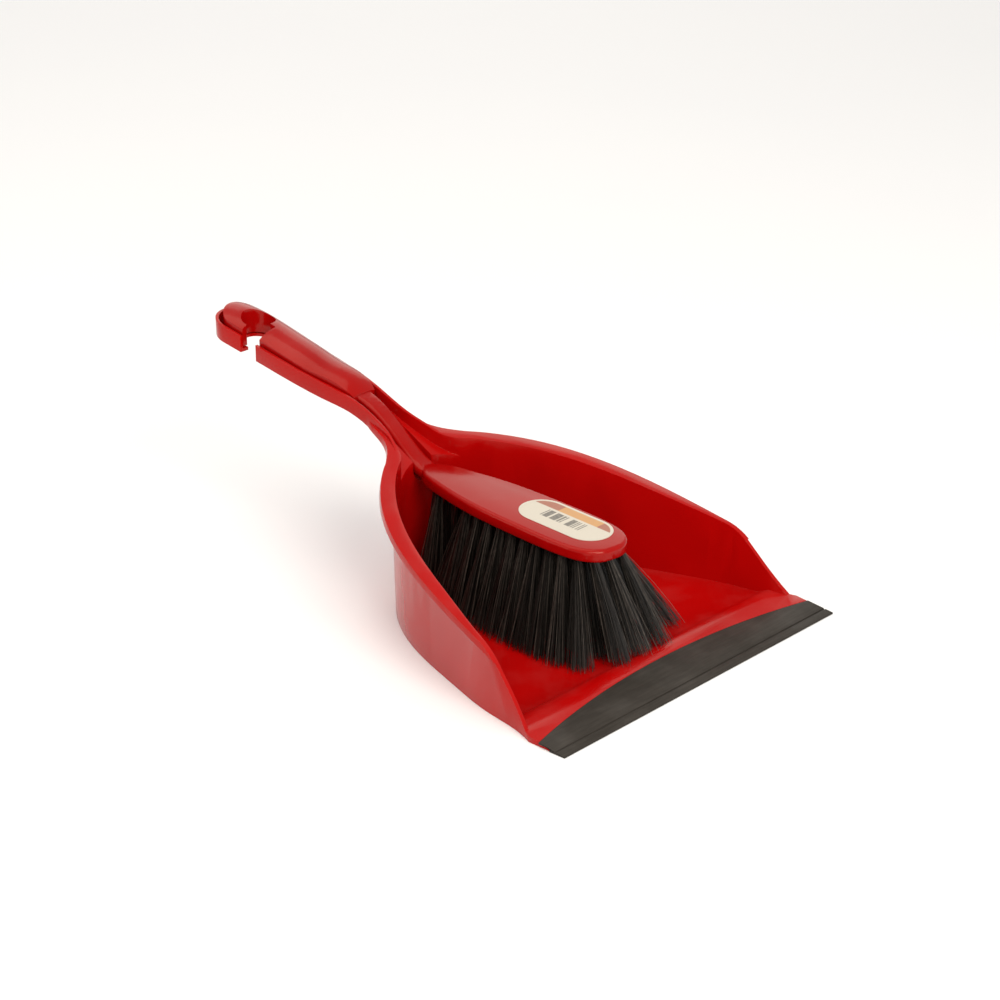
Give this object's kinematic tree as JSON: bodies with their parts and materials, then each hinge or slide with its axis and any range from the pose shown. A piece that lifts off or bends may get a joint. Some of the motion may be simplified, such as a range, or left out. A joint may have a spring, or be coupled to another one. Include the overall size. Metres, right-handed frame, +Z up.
{
  "type": "dustpan and brush",
  "caption": "Red dustpan with a rubber lip and a hooked trough handle, and the soft hand brush that nests in it.",
  "frame": {"origin": "middle of the set's footprint at floor level: half way between the lip's front edge and the end of the handle", "axes": "+Z up, +Y from the lip's front edge towards the end of the handle, +X to the right when looking along +Y; the hook opens towards -X"},
  "size_m": [0.22, 0.361, 0.1227],
  "materials": {
    "pan_red": "glossy moulded polypropylene",
    "brush_red": "glossy moulded polypropylene",
    "lip_rubber": "matt soft rubber",
    "bristle_black": "soft crimped filament",
    "anchor_steel": "flat wire",
    "label_paper": "coated paper"
  },
  "bodies": {
    "dustpan": {"dustpan": "pan_red", "lip_strip": "lip_rubber"},
    "brush": {"brush_body": "brush_red", "label": "label_paper", "tuft_row_01": "bristle_black", "tuft_row_02": "bristle_black", "tuft_row_03": "bristle_black", "tuft_row_04": "bristle_black", "tuft_row_05": "bristle_black", "tuft_row_06": "bristle_black", "tuft_row_07": "bristle_black", "tuft_row_08": "bristle_black", "tuft_row_09": "bristle_black", "tuft_row_10": "bristle_black", "tuft_row_11": "bristle_black", "tuft_row_12": "bristle_black", "tuft_row_13": "bristle_black", "tuft_row_14": "bristle_black", "tuft_row_15": "bristle_black", "anchor_row_01": "anchor_steel", "anchor_row_02": "anchor_steel", "anchor_row_03": "anchor_steel", "anchor_row_04": "anchor_steel", "anchor_row_05": "anchor_steel", "anchor_row_06": "anchor_steel", "anchor_row_07": "anchor_steel", "anchor_row_08": "anchor_steel", "anchor_row_09": "anchor_steel", "anchor_row_10": "anchor_steel", "anchor_row_11": "anchor_steel", "anchor_row_12": "anchor_steel", "anchor_row_13": "anchor_steel", "anchor_row_14": "anchor_steel", "anchor_row_15": "anchor_steel"}
  },
  "joints": [
    {"name": "brush_lift", "type": "slide", "parent": "dustpan", "child": "brush", "axis": [0, 0, 1], "range_m": [0, 0.12]}
  ]
}
